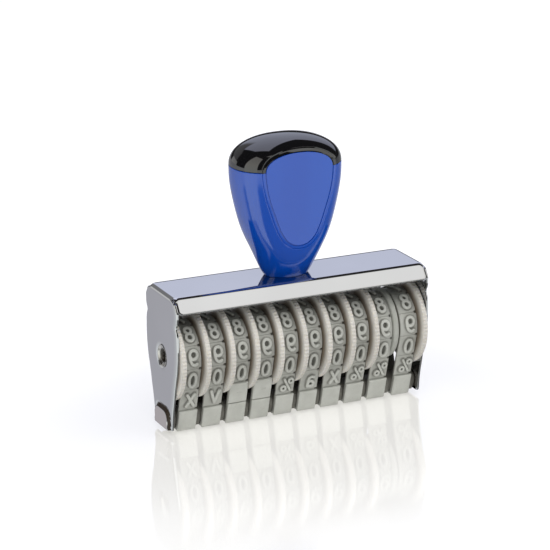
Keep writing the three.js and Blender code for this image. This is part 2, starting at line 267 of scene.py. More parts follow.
def chrome():
    m = Mat("chrome_plate")
    broad = m.noise(30.0, 2.0, 0.5)
    fine = m.noise(900.0, 3.0, 0.6)
    hair = m.noise(160.0, 4.0, 0.7, m.scaled(1.0, 22.0, 1.0))
    hair2 = m.noise(170.0, 4.0, 0.7, m.scaled(20.0, 1.2, 1.6))
    tone = m.map(broad, 0.35, 0.7, 0.0, 1.0, True)
    col = m.mix(tone, (0.535, 0.54, 0.545), (0.565, 0.57, 0.575))
    scr = m.math("MAXIMUM", m.map(hair, 0.66, 0.74, 0.0, 1.0), m.map(hair2, 0.67, 0.75, 0.0, 1.0))
    rough = m.math("ADD", m.map(broad, 0.3, 0.75, 0.020, 0.050, True), m.math("MULTIPLY", scr, 0.05))
    n1 = m.bump(broad, 0.05, 0.0006)
    n2 = m.bump(fine, 0.03, 0.00003, n1)
    n3 = m.bump(scr, 0.04, 0.00002, n2)
    # The pressed pocket at the foot of each end plate is painted: a near-black line along its edge, strongest at the
    # front and top, is painted shade of the pocket's step, and its face is tinted pinkish-beige as a painted
    # reflection.
    sep = m.n("ShaderNodeSeparateXYZ")
    m.link(m.co, sep.inputs[0])
    ax, ay, z = m.math("ABSOLUTE", sep.outputs[0]), m.math("ABSOLUTE", sep.outputs[1]), sep.outputs[2]
    gy = m.math("POWER", m.math("DIVIDE", ay, 0.00615), 4.4)
    gz = m.math("POWER", m.math("DIVIDE", m.math("MAXIMUM", m.math("SUBTRACT", z, 0.001), 0.0), 0.008), 4.4)
    arch = m.math("SUBTRACT", 1.0, m.math("POWER", m.math("ADD", gy, gz), 1 / 4.4))
    at_end = m.map(ax, 0.0470, 0.0471, 0.0, 1.0)
    low = m.map(z, 0.0115, 0.0120, 1.0, 0.0)
    line = m.math("MULTIPLY", m.map(arch, -0.075, -0.035, 0.0, 1.0, True), m.map(arch, 0.062, 0.095, 1.0, 0.0, True))
    side = m.map(m.math("ADD", sep.outputs[1], m.math("MULTIPLY", z, -0.8)), -0.0035, 0.0005, 1.0, 0.30, True)
    line = m.math("MULTIPLY", m.math("MULTIPLY", line, side), m.math("MULTIPLY", at_end, low))
    face = m.math("MULTIPLY", m.map(arch, 0.08, 0.13, 0.0, 1.0, True), m.math("MULTIPLY", at_end, low))
    # painted reflection: pinkish-beige tint on the pocket's face
    col = m.mix(m.math("MULTIPLY", face, 0.6), col, (0.64, 0.555, 0.50))
    # painted shade: near-black, less metallic and rougher along the pocket's step
    col = m.mix(line, col, (0.030, 0.018, 0.010))
    m.set(Base_Color=col, Metallic=m.map(line, 0.2, 0.8, 1.0, 0.15), Roughness=m.math("ADD", rough, m.math("MULTIPLY", line, 0.5)), Normal=n3)
    return m.m


def bright_steel():
    m = Mat("bright_steel")
    turn = m.noise(700.0, 3.0, 0.6, m.scaled(6.0, 1.0, 1.0))
    blot = m.noise(220.0, 3.0, 0.5)
    col = m.mix(m.map(blot, 0.35, 0.7, 0.0, 1.0, True), (0.40, 0.385, 0.36), (0.58, 0.565, 0.54))
    rough = m.math("ADD", m.map(turn, 0.3, 0.7, 0.16, 0.30), m.map(blot, 0.3, 0.8, 0.0, 0.08))
    sep = m.n("ShaderNodeSeparateXYZ")
    m.link(m.co, sep.inputs[0])
    # painted shade: within about 2.3 to 3.2 mm of the axle's line the steel is painted near-black and less metallic, as
    # shade inside the tube's bore
    dz = m.math("SUBTRACT", sep.outputs[2], 0.0275)
    rr = m.math("SQRT", m.math("ADD", m.math("MULTIPLY", dz, dz), m.math("MULTIPLY", sep.outputs[1], sep.outputs[1])))
    bore_shade = m.map(rr, 0.0023, 0.0032, 1.0, 0.0, True)
    col = m.mix(bore_shade, col, (0.022, 0.017, 0.013))
    m.set(Base_Color=col, Metallic=m.map(bore_shade, 0.0, 1.0, 1.0, 0.3), Roughness=rough, Normal=m.bump(turn, 0.12, 0.00003))
    return m.m


def blue_gloss():
    m = Mat("blue_gloss_plastic")
    haze = m.noise(70.0, 4.0, 0.6)
    flow = m.noise(26.0, 3.0, 0.5, m.scaled(1.0, 1.0, 0.35), 0.6)
    peel = m.noise(420.0, 2.0, 0.5)
    col = m.mix(m.map(flow, 0.3, 0.72, 0.0, 1.0, True), (0.001, 0.058, 0.40), (0.002, 0.074, 0.455))
    rough = m.math("ADD", m.map(haze, 0.3, 0.75, 0.085, 0.13, True), m.map(peel, 0.3, 0.8, 0.0, 0.02))
    n1 = m.bump(flow, 0.04, 0.0006)
    n2 = m.bump(peel, 0.04, 0.00004, n1)
    m.set(Base_Color=col, Roughness=rough, Normal=n2)
    m.p.inputs["IOR"].default_value = 1.72
    return m.m


def black_gloss():
    m = Mat("black_gloss_plastic")
    haze = m.noise(80.0, 4.0, 0.6)
    peel = m.noise(500.0, 2.0, 0.5)
    dust = m.noise(2600.0, 2.0, 0.5)
    col = m.mix(m.map(dust, 0.71, 0.77, 0.0, 0.35), (0.0025, 0.0025, 0.003), (0.03, 0.03, 0.033))
    rough = m.map(haze, 0.3, 0.75, 0.03, 0.06, True)
    m.set(Base_Color=col, Roughness=rough, Normal=m.bump(peel, 0.03, 0.00004))
    m.p.inputs["IOR"].default_value = 1.80
    return m.m


def rubber():
    m = Mat("band_rubber")
    cloud = m.noise(240.0, 4.0, 0.6)
    grain = m.noise(2600.0, 3.0, 0.6)
    speck = m.noise(1500.0, 2.0, 0.5)
    relief = m.attr("relief")
    top = m.mix(m.map(cloud, 0.3, 0.72, 0.0, 1.0, True), (0.50, 0.51, 0.472), (0.56, 0.57, 0.532))
    top = m.mix(m.map(speck, 0.64, 0.72, 0.0, 0.22), top, (0.30, 0.31, 0.26))
    deep = m.mix(m.map(cloud, 0.3, 0.72, 0.0, 1.0, True), (0.405, 0.41, 0.375), (0.46, 0.465, 0.43))
    sep = m.n("ShaderNodeSeparateXYZ")
    m.link(m.co, sep.inputs[0])
    # painted shade: the web darkens with height from 33.5 to 42.5 mm, as the shade under the frame's front lip
    lip_shade = m.map(m.math("ADD", sep.outputs[2], m.math("MULTIPLY", cloud, 0.003)), 0.0335, 0.0425, 0.0, 0.62, True)
    deep = m.mix(lip_shade, deep, (0.075, 0.073, 0.055))
    # painted shade: the lower web takes a darker colour than the raised tops, by the relief attribute
    col = m.mix(m.map(relief, 0.05, 0.8, 0.0, 1.0, True), deep, top)
    # painted shade: near-black where the cavity attribute is set
    col = m.mix(m.math("MULTIPLY", m.attr("cavity_shade"), 0.80), col, (0.046, 0.045, 0.033))
    rough = m.map(cloud, 0.3, 0.75, 0.50, 0.68, True)
    m.set(Base_Color=col, Roughness=rough, Normal=m.bump(grain, 0.22, 0.00006))
    m.p.inputs["Specular IOR Level"].default_value = 0.42
    return m.m


def cream():
    m = Mat("cream_plastic")
    cloud = m.noise(150.0, 4.0, 0.6)
    grain = m.noise(1900.0, 3.0, 0.6)
    knurl_groove_shade = m.attr("groove")
    col = m.mix(m.map(cloud, 0.3, 0.72, 0.0, 1.0, True), (0.61, 0.59, 0.55), (0.67, 0.65, 0.61))
    # painted shade: the knurl's grooves are painted darker
    col = m.mix(m.math("MULTIPLY", knurl_groove_shade, 0.22), col, (0.45, 0.41, 0.34))
    # painted shade, with some dirt: the flanks turn dark brown below about 15.4 mm radius, darkest from 12.5 mm inwards
    # next to the band
    col = m.mix(m.math("MULTIPLY", m.attr("inner"), 0.86), col, (0.125, 0.086, 0.048))
    rough = m.map(cloud, 0.3, 0.75, 0.34, 0.48, True)
    m.set(Base_Color=col, Roughness=rough, Normal=m.bump(grain, 0.14, 0.00005))
    m.p.inputs["Subsurface Weight"].default_value = 0.12
    m.p.inputs["Subsurface Radius"].default_value = (0.0012, 0.0009, 0.0005)
    return m.m


def plain_plastic(name, a, b):
    m = Mat(name)
    cloud = m.noise(180.0, 4.0, 0.6)
    grain = m.noise(2100.0, 3.0, 0.6)
    col = m.mix(m.map(cloud, 0.3, 0.72, 0.0, 1.0, True), a, b)
    m.set(Base_Color=col, Roughness=m.map(cloud, 0.3, 0.75, 0.42, 0.58, True), Normal=m.bump(grain, 0.16, 0.00005))
    return m.m


def brass():
    m = Mat("brass")
    cloud = m.noise(260.0, 4.0, 0.6)
    grain = m.noise(1200.0, 3.0, 0.6)
    col = m.mix(m.map(cloud, 0.3, 0.72, 0.0, 1.0, True), (0.62, 0.46, 0.18), (0.78, 0.62, 0.30))
    m.set(Base_Color=col, Metallic=1.0, Roughness=m.map(cloud, 0.3, 0.75, 0.22, 0.38, True), Normal=m.bump(grain, 0.1, 0.00003))
    return m.m


M = {"chrome": chrome(), "steel": bright_steel(), "blue": blue_gloss(), "black": black_gloss(), "rubber": rubber(),
     "cream": cream(), "grey": plain_plastic("grey_plastic", (0.15, 0.145, 0.125), (0.215, 0.21, 0.185)),
     "pale": plain_plastic("pale_grey_plastic", (0.37, 0.38, 0.345), (0.43, 0.44, 0.405)), "brass": brass()}


def finish_piece(o, mat, nodes=(), body="root"):
    o.data.materials.clear()
    o.data.materials.append(M[mat])
    o.data.name = o.name
    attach(o, body)
    if nodes:
        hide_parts(*nodes)
    return o


# ------------------------------------------------------------------ frame of folded chromed sheet
OUT_Z = [2.0, 2.08, 2.3, 2.7, 3.2, 7.3, 11.3, 13.7, 17.9, 21.3, 25.3, 29.3, 33.0, 37.4, 39.4,
         40.3, 41.0, 41.7, 42.6, 43.8, 46.5, 49.0]
OUT_W = [6.9, 7.25, 7.55, 7.7, 7.78, 8.3, 9.2, 9.9, 10.9, 11.9, 13.15, 13.9, 14.1, 13.95, 13.55,
         12.98, 12.82, 12.98, 13.6, 13.95, 14.0, 12.35]
FOLD_A = math.atan2(4.8, 3.5)      # how far the lips are folded down
FOLD_R = 2.5                      # outer radius of the fold
LIP_LEN = math.hypot(5.05, 3.68)
LIP_END = 47.4
Y_F = 10.7 - FOLD_R * math.tan(FOLD_A / 2)
MARGIN = 2.6


def chromed_frame():
    fine = np.linspace(2.0, 49.0, 1200)
    raw = np.interp(fine, OUT_Z, OUT_W)
    k = np.ones(17) / 17
    sm = np.convolve(np.pad(raw, 8, mode="edge"), k, mode="valid")
    sm = np.where(fine < 2.7, raw, sm)
    zs = np.concatenate([
        [2.0, 2.06, 2.16, 2.3, 2.5], np.arange(2.8, 10.2, 0.28), np.arange(10.4, 21.8, 0.7),
        np.arange(22.0, 33.2, 0.34), np.arange(33.6, 39.4, 0.6), np.arange(39.6, 43.0, 0.24), np.arange(43.2, 48.7, 0.6), [49.0]])
    half_w = np.interp(zs, fine, sm)

    ro, ri = 0.42, 0.18
    edge = [(ro - ro * math.sin(a), ro - ro * math.cos(a)) for a in np.radians([90, 67.5, 45, 22.5, 0])]
    margin = [0.72, 1.1, 1.55, 2.05, MARGIN]
    n_in = 60

    def section(w, fade):
        """(y, depth) of the outer face front to rear, then of the inner face rear to front."""
        curve = lambda d: 0.30 * fade * max(0.0, (MARGIN - d) / MARGIN) ** 2
        front = [(-(w - d), q * fade + curve(d)) for d, q in edge] + [(-(w - d), curve(d)) for d in margin]
        inner = [(y, 0.0) for y in np.linspace(-(w - MARGIN), w - MARGIN, n_in)[1:-1]]
        outer = front + inner + [(-y, q) for y, q in front[::-1]]
        back = [[y, SHEET] for y, _ in outer[::-1]]
        for j, dq in ((0, ri), (-1, ri), (1, 0.05), (-2, 0.05)):
            back[j][1] -= dq * fade
        return outer + [tuple(p) for p in back]

    n = len(section(10.0, 1.0))
    n_out = n // 2

    def arch(y, z):
        g = (abs(y) / 6.15) ** 4.4 + (max(z - 1.0, 0) / 8.0) ** 4.4
        return (1 - g ** (1 / 4.4)) * 6.2

    def plate_row(z, w):
        pts = []
        for i, (y, q) in enumerate(section(w, 1.0)):
            if z < 12:
                a_ = arch(y, z)
                q -= 0.8 * smooth01(a_ / 0.45)
                if i < n_out:
                    q += 0.30 * smooth01((a_ + 0.85) / 0.3) * smooth01((-0.05 - a_) / 0.15)
            if i < n_out:
                q += 0.74 * smooth01((5.2 - math.hypot(y, z - AXLE_Z)) / 2.3)
            if z < 2.05:
                q += 0.2 if i < n_out else -0.12
            pts.append((-(HALF - q), y, z))
        return pts

    def sag(y):
        """The plate falls a little towards its rear fold."""
        u = max(y - 8.5, 0.0)
        return 0.5 * 0.085 / (Y_F - 8.5) * u * u

    def bend_row(phi, w, fade):
        return [(-(HALF - BEND + (BEND - q) * math.sin(phi)), y, TOP_Z - BEND + (BEND - q) * math.cos(phi) - sag(y) * (1 - fade))
                for y, q in section(w, fade)]

    phi_lip = math.asin((LIP_END - (HALF - BEND)) / BEND)
    left = [plate_row(z, w) for z, w in zip(zs, half_w)]
    for deg, w in ((84, 12.2), (77, 11.95), (70, 11.6), (63, 11.1), (56, 10.6), (50, 10.3), (43, 10.2), (35, Y_F)):
        left.append(bend_row(math.radians(deg), w, float(smooth01((deg - 26.0) / 26.0))))
    left.append(bend_row(phi_lip, Y_F, 0.0))

    # section of the flat top with both lips, from outer front to outer rear, round the rear lip, back and round the front lip
    ys = [y for y, _ in section(Y_F, 0.0)[:n_out]]
    dirn, nrm = (math.cos(FOLD_A), -math.sin(FOLD_A)), (math.sin(FOLD_A), math.cos(FOLD_A))

    def lip(x):
        d = LIP_END - abs(x)
        r = 1.5
        cut = r - math.sqrt(max(r * r - max(r - d, 0.0) ** 2, 0.0)) if d < r else 0.0
        extra = 1.0 * float(smooth01((abs(x) - 45.7) / 1.7)) ** 1.5
        outer, inner = [], []
        for t in np.linspace(0, 1, 8)[1:]:
            a = FOLD_A * t
            outer.append((Y_F + FOLD_R * math.sin(a) + dirn[0] * extra * t, TOP_Z - FOLD_R + FOLD_R * math.cos(a) + dirn[1] * extra * t))
        y0, z0 = Y_F + FOLD_R * math.sin(FOLD_A), TOP_Z - FOLD_R + FOLD_R * math.cos(FOLD_A)
        run, e = LIP_LEN - cut - FOLD_R * math.tan(FOLD_A / 2), 0.3
        at = lambda u, dep: (y0 + dirn[0] * u - nrm[0] * dep, z0 + dirn[1] * u - nrm[1] * dep)
        outer += [at(extra + (run - e - extra) * t, 0.0) for t in np.linspace(0.15, 1.0, 7)]
        tip = [at(run - e + e * math.sin(a), e * (1 - math.cos(a))) for a in np.radians([22.5, 45, 67.5, 90])]
        tip += [at(run - e + e * math.sin(a), SHEET - e * (1 - math.cos(a))) for a in np.radians([90, 60, 30, 0])]
        inner = [at((run - e) * t, SHEET) for t in np.linspace(0.85, 0.0, 6)]
        inner += [(Y_F + (FOLD_R - SHEET) * math.sin(a), TOP_Z - FOLD_R + (FOLD_R - SHEET) * math.cos(a))
                  for a in np.linspace(FOLD_A, 0, 5)[1:-1]]
        return outer + tip + inner

    def top_row(x):
        u = max(abs(x) - (HALF - BEND), 0.0)
        phi = math.asin(min(u / BEND, 1.0))
        drop = BEND * (1 - math.cos(phi))
        sx = math.copysign(1.0, x)
        xi = sx * (HALF - BEND + (BEND - SHEET) * math.sin(phi)) if u > 0 else x
        L = lip(x)
        row = [(x, y, TOP_Z - drop - sag(y)) for y in ys]
        row += [(x, y, z - drop - sag(Y_F)) for y, z in L]
        row += [(xi, y, TOP_Z - SHEET - (BEND - SHEET) * (1 - math.cos(phi)) - sag(y)) for y in ys[::-1]]
        row += [(x, -y, z - drop) for y, z in L[::-1]]
        return row

    ends = [LIP_END - 1.5 * (1 - math.cos(a)) for a in np.radians([0, 15, 30, 45, 60, 75, 90])]
    xs = sorted({-e for e in ends} | set(np.linspace(-45.3, 45.3, 19)) | set(ends))
    mid = [top_row(x) for x in xs]
    nn = len(mid[0])
    nl = (nn - 2 * len(ys)) // 2

    verts, faces = [], []
    for r in left:
        verts.extend(r)
    faces += ring_faces(len(left), n, 0)
    faces.append(tuple(range(0, n)))
    b = len(verts)
    for r in left:
        verts.extend([(-x, y, z) for x, y, z in r])
    faces += ring_faces(len(left), n, b)
    faces.append(tuple(range(b, b + n)))
    b = len(verts)
    for r in mid:
        verts.extend(r)
    faces += ring_faces(len(mid), nn, b)
    m = len(ys)
    for row in (0, len(mid) - 1):
        s = b + row * nn
        faces.append(tuple([s + m - 1] + [s + m + j for j in range(nl)] + [s + m + nl]))
        faces.append(tuple([s + 2 * m + nl - 1] + [s + 2 * m + nl + j for j in range(nl)] + [s]))
    o = new_object("chromed_frame", verts, faces)
    tidy(o, merge=2e-6)
    th = np.linspace(0, 2 * math.pi, 65)[:-1]
    hole = prism("hole", [(2.62 * math.cos(a), AXLE_Z + 2.62 * math.sin(a)) for a in th], -60, 60, "x")
    boolean(o, hole)
    tidy(o, merge=1e-7, angle=38)
    return finish_piece(o, "chrome", ["frame_shell"])


# ------------------------------------------------------------------ axle tube, spacer disc
def axle_tube():
    half = [(1.7, 0.0), (1.7, 46.4), (1.85, 46.9), (2.2, 47.35), (2.75, 47.75), (3.25, 48.05), (3.55, 48.28), (3.68, 48.36),
            (3.86, 48.36), (3.92, 48.24), (3.86, 48.10), (3.6, 47.93), (3.2, 47.72), (2.9, 47.5), (2.62, 47.2), (2.5, 46.8), (2.5, 0.0)]
    prof = half + [(r, -x) for r, x in half[::-1][1:-1]]
    o = tidy(lathe_x("axle_tube", prof, seg=72), angle=40)
    return finish_piece(o, "steel", ["axle"])


def spacer():
    r0, r1, t = 2.58, 12.7, 1.0
    prof = [(r0 + 0.15, -t), (r0, -t + 0.15), (r0, t - 0.15), (r0 + 0.15, t), (r1 - 0.45, t), (r1 - 0.2, t - 0.06), (r1 - 0.06, t - 0.2),
            (r1, t - 0.45), (r1, -t + 0.45), (r1 - 0.06, -t + 0.2), (r1 - 0.2, -t + 0.06), (r1 - 0.45, -t)]
    o = tidy(lathe_x("spacer", prof, x0=36.35, seg=120), angle=40)
    return finish_piece(o, "pale", ["spacer_disc"])


# ------------------------------------------------------------------ thumbwheels
TEETH = 74


def thumbwheel(k):
    x, last = WHEEL_X[k], k == 9
    t = WHEEL_T / 2
    side = -1.0 if last else 1.0            # the drum stands on the band's side of the wheel
    reach = abs(BAND_X[k] - x) + BAND_W / 2 - 0.05
    R, e = WHEEL_R, 0.5
    # (radius, offset towards the drum, share of the knurl)
    prof = [(WHEEL_BORE, -t + 0.15, 0), (WHEEL_BORE, reach - 0.15, 0), (WHEEL_BORE + 0.15, reach, 0), (6.5, reach, 0),
            (DRUM_R - 0.25, reach, 0), (DRUM_R, reach - 0.25, 0), (DRUM_R, (reach + t) / 2, 0), (DRUM_R, t + 0.35, 0),
            (DRUM_R + 0.1, t + 0.1, 0), (DRUM_R + 0.35, t, 0), (12.3, t, 0), (13.1, t, 0), (13.8, t, 0), (14.6, t - 0.02, 0.0), (15.2, t - 0.06, 0.25)]
    for a in np.radians([12, 30, 48, 66, 82]):
        prof.append((R - e + e * math.sin(a), t - 0.08 - e * (1 - math.cos(a)) * 0.9, 0.55 + 0.45 * math.sin(a)))
    prof += [(R, 0.28, 1), (R, 0.0, 1), (R, -0.28, 1)]
    for a in np.radians([82, 66, 48, 30, 12]):
        prof.append((R - e + e * math.sin(a), -(t - 0.08 - e * (1 - math.cos(a)) * 0.9), 0.55 + 0.45 * math.sin(a)))
    prof += [(15.2, -t + 0.06, 0.25), (14.6, -t + 0.02, 0.0), (13.8, -t, 0), (13.1, -t, 0), (12.3, -t, 0), (8.0, -t, 0), (WHEEL_BORE + 0.15, -t, 0)]
    P = np.array(prof)
    seg = TEETH * 6
    th = np.arange(seg) * 2 * math.pi / seg
    g = (0.5 - 0.5 * np.cos(th * TEETH)) ** 1.6      # 1 in the middle of a groove
    rad = P[None, :, 0] - 0.20 * g[:, None] * P[None, :, 2]
    V = np.zeros((seg, len(P), 3))
    V[:, :, 0] = x + side * P[None, :, 1]
    V[:, :, 1] = rad * np.cos(th)[:, None]
    V[:, :, 2] = AXLE_Z + rad * np.sin(th)[:, None]
    groove = g[:, None] * P[None, :, 2]
    # inner: 1 up to 12.5 mm radius, 0 from 15.4 mm, for the painted shade and dirt on the flanks
    inner = np.ones(seg)[:, None] * (1.0 - smooth01((P[None, :, 0] - 12.5) / 2.9))
    o = new_object(f"wheel_{k + 1:02d}", V.reshape(-1, 3), ring_faces(seg, len(P), close_u=True), {"groove": groove.reshape(-1), "inner": inner.reshape(-1)})
    tidy(o, merge=0, angle=50)
    return finish_piece(o, "cream", [f"thumbwheel_{k + 1:02d}"], f"wheel_{k + 1:02d}")


# ------------------------------------------------------------------ number bands
NOSE_Z = RELIEF
TO_NOSE = math.hypot(NOSE_HALF, AXLE_Z - NOSE_Z)
STRAIGHT = math.sqrt(TO_NOSE**2 - BAND_R**2)
CONTACT = math.atan2(AXLE_Z - NOSE_Z, NOSE_HALF) - math.acos(BAND_R / TO_NOSE)
WRAP = math.pi + 2 * CONTACT
LOOP = 2 * NOSE_HALF + 2 * STRAIGHT + BAND_R * WRAP
FIELD = LOOP / CELLS


def on_band(s, d):
    """Point of the band's loop at path length s from the bottom's middle (up the front), d outwards."""
    t = s % LOOP
    side = -1
    if t > LOOP / 2:
        t, side = LOOP - t, 1
    rc = 1.2                                    # the nose's corners are rounded
    if t <= NOSE_HALF:
        y, z, ny, nz = t, NOSE_Z, 0.0, -1.0
    elif t <= NOSE_HALF + STRAIGHT:
        u = t - NOSE_HALF
        y, z = NOSE_HALF + u * math.sin(CONTACT), NOSE_Z + u * math.cos(CONTACT)
        ny, nz = math.cos(CONTACT), -math.sin(CONTACT)
    else:
        a = -CONTACT + (t - NOSE_HALF - STRAIGHT) / BAND_R
        ny, nz = math.cos(a), math.sin(a)
        y, z = BAND_R * ny, AXLE_Z + BAND_R * nz
    if abs(t - NOSE_HALF) < rc:                 # turn the normal smoothly round the corner
        f = 0.5 + (t - NOSE_HALF) / (2 * rc)
        a = -math.pi / 2 + f * (math.pi / 2 - CONTACT)
        ny, nz = math.cos(a), math.sin(a)
        # quadratic corner between the two tangent points
        p0 = (NOSE_HALF - rc, NOSE_Z)
        p1 = (NOSE_HALF, NOSE_Z)
        p2 = (NOSE_HALF + rc * math.sin(CONTACT), NOSE_Z + rc * math.cos(CONTACT))
        y = (1 - f) ** 2 * p0[0] + 2 * f * (1 - f) * p1[0] + f * f * p2[0]
        z = (1 - f) ** 2 * p0[1] + 2 * f * (1 - f) * p1[1] + f * f * p2[1]
    return side * (y + d * ny), z + d * nz


def web_rows():
    """Path lengths of the band's cross rows, closer where the surface changes."""
    rows = set()
    for c in range(CELLS):
        mid = (c + 0.5) * FIELD
        for d in (-0.55, -0.42, -0.3, -0.2, -0.12, -0.06, 0.0, 0.06, 0.12, 0.2, 0.3, 0.42, 0.55):
            rows.add(round(mid + d, 4))
    for s in np.arange(0.0, LOOP, 0.36):
        to_line = abs((s - 0.5 * FIELD) - round((s - 0.5 * FIELD) / FIELD) * FIELD)
        if to_line > 0.6:
            rows.add(round(float(s), 4))
    for c in (NOSE_HALF, LOOP - NOSE_HALF):
        for d in np.arange(-1.2, 1.25, 0.3):
            rows.add(round(c + float(d), 4))
    out = []
    for r in sorted(rows):
        if not out or r - out[-1] > 0.035:
            out.append(r)
    return out


ROWS = web_rows()


def inside(xs, v, loop):
    """Which of the points (xs, v) lie inside the closed loop."""
    a, b = loop, np.roll(loop, -1, axis=0)
    span = (a[:, 1] > v) != (b[:, 1] > v)
    a, b = a[span], b[span]
    if len(a) == 0:
        return np.zeros(len(xs), dtype=bool)
    cross = a[:, 0] + (v - a[:, 1]) * (b[:, 0] - a[:, 0]) / (b[:, 1] - a[:, 1])
    return (cross[None, :] > xs[:, None]).sum(axis=1) % 2 == 1


def band_web(fields):
    """The belt itself, for a band whose middle is at x = 0: vertices, faces, and the relief and painted-shade
    attributes; the shade lies at the strokes' feet, inside closed counters, in the field lines and notches, and along
    the belt's sides and underside.

    fields holds for each field the centre-lines of its character as points (u, v) and its closed loops, or None."""
    h = BAND_W / 2
    cols = [-h, -h + 0.05, -h + 0.15, -h + 0.4] + list(np.arange(-2.7, 2.35, 0.35)) + [2.45, 2.6, 2.75, 2.9, h - 0.4, h - 0.15, h - 0.05, h]
    side = {0: 0.28, 1: 0.12, 2: 0.03, len(cols) - 3: 0.03, len(cols) - 2: 0.12, len(cols) - 1: 0.28}
    under = [h, h - 0.2, 2.0, 0.0, -2.0, -h + 0.2, -h]
    V, rel, cav = [], [], []
    cx = np.array(cols)
    for s in ROWS:
        # distance to the nearest line between two fields
        dist = abs((s - 0.5 * FIELD) - round((s - 0.5 * FIELD) / FIELD) * FIELD)
        near = np.full(len(cols), 9.0)
        shut = np.zeros(len(cols), dtype=bool)
        c = int(round(s / FIELD))
        for cc in (c - 1, c, c + 1):
            entry = fields[cc % CELLS]
            if entry is not None:
                pts, loops = entry
                v = s - cc * FIELD
                for loop in loops:
                    shut |= inside(cx, v, loop)
                near = np.minimum(near, np.sqrt((cx[:, None] - pts[None, :, 0]) ** 2 + (v - pts[None, :, 1]) ** 2).min(axis=1))
        # painted shade: darkest right at the strokes' feet, fading out over about 0.6 mm, and full inside closed
        # counters
        dark = np.maximum(0.62 * (1.0 - smooth01((near - BASE_HALF_W + 0.05) / 0.62)), np.where(shut, 1.0, 0.0))
        for j, x in enumerate(cols):
            d = -side.get(j, 0.0)
            line = max(0.0, 1 - dist / 0.2) ** 0.8
            d -= 0.13 * line
            notch = float(smooth01((x - 2.5) / 0.35)) * float(smooth01((0.52 - dist) / 0.25))
            d -= 0.75 * notch
            y, z = on_band(s, d)
            V.append((x, y, z))
            # relief 0 on the grooves, notches and edges gives them the darker, painted-shade web colour
            rel.append(0.3 if d > -0.08 else 0.0)
            # painted shade also in the field lines, the notches and along the belt's sides
            cav.append(max(float(dark[j]), 0.4 * line, 0.9 * notch, 0.35 if side.get(j, 0) > 0.2 else 0.0))
        for j, x in enumerate(under):
            y, z = on_band(s, -BAND_T + (0.12 if j in (0, len(under) - 1) else 0.0))
            V.append((x, y, z))
            rel.append(0.0)
            # painted shade on the belt's underside
            cav.append(0.7)
    n = len(cols) + len(under)
    return V, ring_faces(len(ROWS), n, close_u=True), rel, cav


def arc(cx, cy, rx, ry, a0, a1, n=40, p=2.0):
    out = []
    for a in np.radians(np.linspace(a0, a1, n)):
        c, s = math.cos(a), math.sin(a)
        out.append((cx + rx * math.copysign(abs(c) ** (2 / p), c), cy + ry * math.copysign(abs(s) ** (2 / p), s)))
    return out


def even(points, step, closed=False):
    P = np.array(points, float)
    if closed:
        P = np.vstack([P, P[:1]])
    L = np.concatenate([[0], np.cumsum(np.hypot(*np.diff(P, axis=0).T))])
    n = max(3 if closed else 2, int(round(L[-1] / step)) + 1)
    t = np.linspace(0, L[-1], n)
    Q = np.stack([np.interp(t, L, P[:, 0]), np.interp(t, L, P[:, 1])], 1)
    return Q[:-1] if closed else Q


def bezier(*pts, n=24):
    t = np.linspace(0, 1, n)[:, None]
    P = [np.array([p], float) for p in pts]
    while len(P) > 1:
        P = [a * (1 - t) + b * t for a, b in zip(P[:-1], P[1:])]
    return P[0].tolist()


TOP_HALF_W, BASE_HALF_W = 0.40, 0.66


def stroke(points, closed=False, k=1.0, h=RELIEF):
    """A raised stroke along a centre-line in the (u, v) plane: (vertices, faces), height above the web as third value."""
    P = even(points, 0.32, closed)
    n = len(P)
    if closed:
        T = np.roll(P, -1, axis=0) - np.roll(P, 1, axis=0)
    else:
        T = np.gradient(P, axis=0)
    T /= np.linalg.norm(T, axis=1)[:, None]
    N = np.stack([-T[:, 1], T[:, 0]], 1)
    t, b = TOP_HALF_W * k, BASE_HALF_W * k
    levels = [(b, -0.12), (b, 0.0), (t + 0.17 * k, 0.62 * h), (t + 0.05, h - 0.09), (t - 0.02, h - 0.025), (t - 0.11, h)]
    if closed:
        sec = [(r, z) for r, z in levels] + [(-r, z) for r, z in levels[::-1]]
        V = [(*(P[i] + N[i] * r), z) for i in range(n) for r, z in sec]
        return V, ring_faces(n, len(sec), close_u=True)
    m = 7
    V, F, rings = [], [], []
    for r, z in levels:
        ring = [(*(P[i] + N[i] * r), z) for i in range(n)]
        a0 = math.atan2(N[-1][1], N[-1][0])
        ring += [(P[-1][0] + r * math.cos(a0 - math.pi * j / (m + 1)), P[-1][1] + r * math.sin(a0 - math.pi * j / (m + 1)), z) for j in range(1, m + 1)]
        ring += [(*(P[i] - N[i] * r), z) for i in range(n - 1, -1, -1)]
        a0 = math.atan2(-N[0][1], -N[0][0])
        ring += [(P[0][0] + r * math.cos(a0 - math.pi * j / (m + 1)), P[0][1] + r * math.sin(a0 - math.pi * j / (m + 1)), z) for j in range(1, m + 1)]
        V += ring
        rings.append(len(ring))
    w = rings[0]
    F = ring_faces(len(levels), w)
    for base in (0, (len(levels) - 1) * w):
        left = lambda i: base + i
        right = lambda i: base + n + m + (n - 1 - i)
        for i in range(n - 1):
            F.append((left(i), left(i + 1), right(i + 1), right(i)))
        F.append(tuple([left(n - 1)] + [base + n + j for j in range(m)] + [right(n - 1)]))
        F.append(tuple([right(0)] + [base + 2 * n + m + j for j in range(m)] + [left(0)]))
    return V, F


